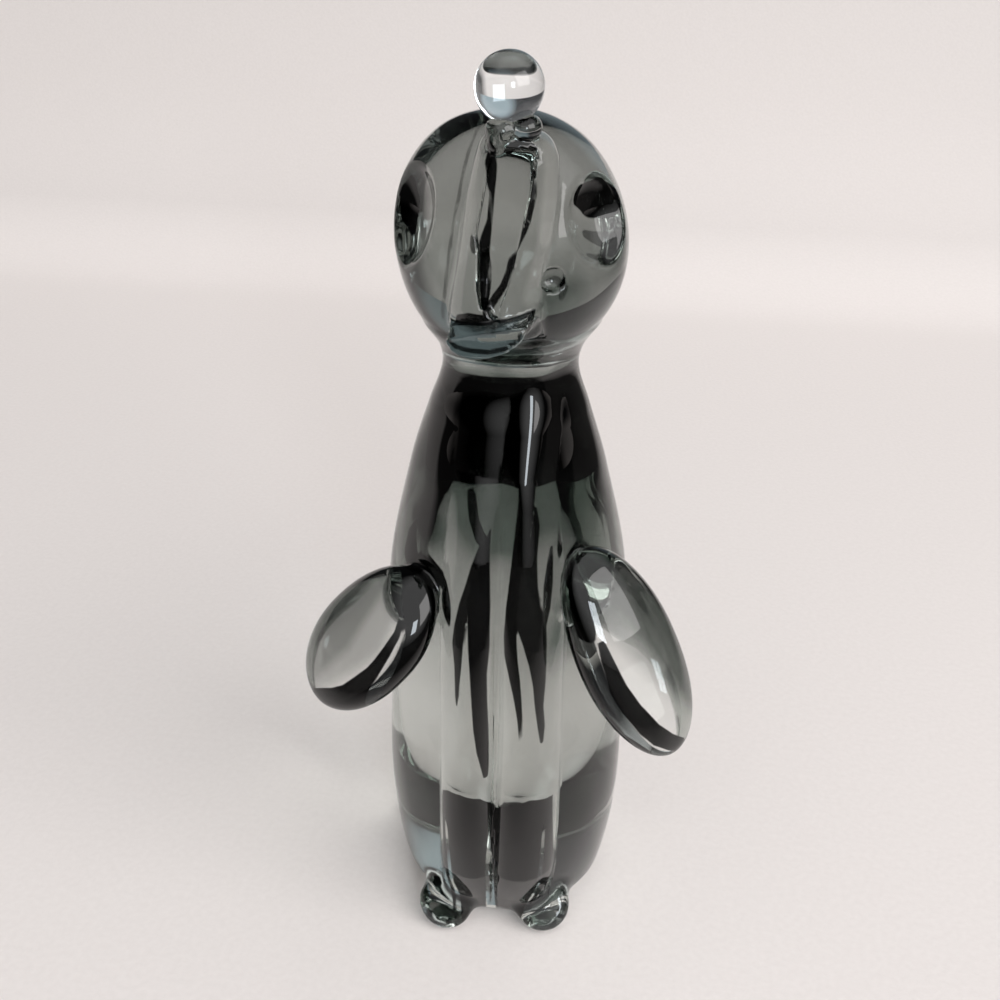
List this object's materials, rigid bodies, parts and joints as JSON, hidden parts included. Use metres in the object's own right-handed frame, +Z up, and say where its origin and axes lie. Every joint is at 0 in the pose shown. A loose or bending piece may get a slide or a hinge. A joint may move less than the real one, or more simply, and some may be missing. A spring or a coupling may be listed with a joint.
{
  "type": "glass seal figurine",
  "caption": "Solid smoked-glass seal that sits upright with its flippers out and a clear glass ball on its raised nose.",
  "frame": {"origin": "on the flat underside of the body, straight below the neck", "axes": "+Z up, -Y the way the seal faces, +X to the right of someone who looks it in the face"},
  "size_m": [0.0725, 0.0641, 0.1778],
  "materials": {
    "smoke_glass": "fire-polished grey smoke glass",
    "clear_glass": "fire-polished clear glass"
  },
  "bodies": {
    "root": {"body": "smoke_glass", "head": "smoke_glass", "upper_jaw": "smoke_glass", "lower_jaw": "smoke_glass", "nose_seat": "smoke_glass", "ball": "clear_glass", "left_flipper": "smoke_glass", "right_flipper": "smoke_glass", "left_leg": "smoke_glass", "right_leg": "smoke_glass", "left_foot": "smoke_glass", "right_foot": "smoke_glass"}
  },
  "joints": []
}
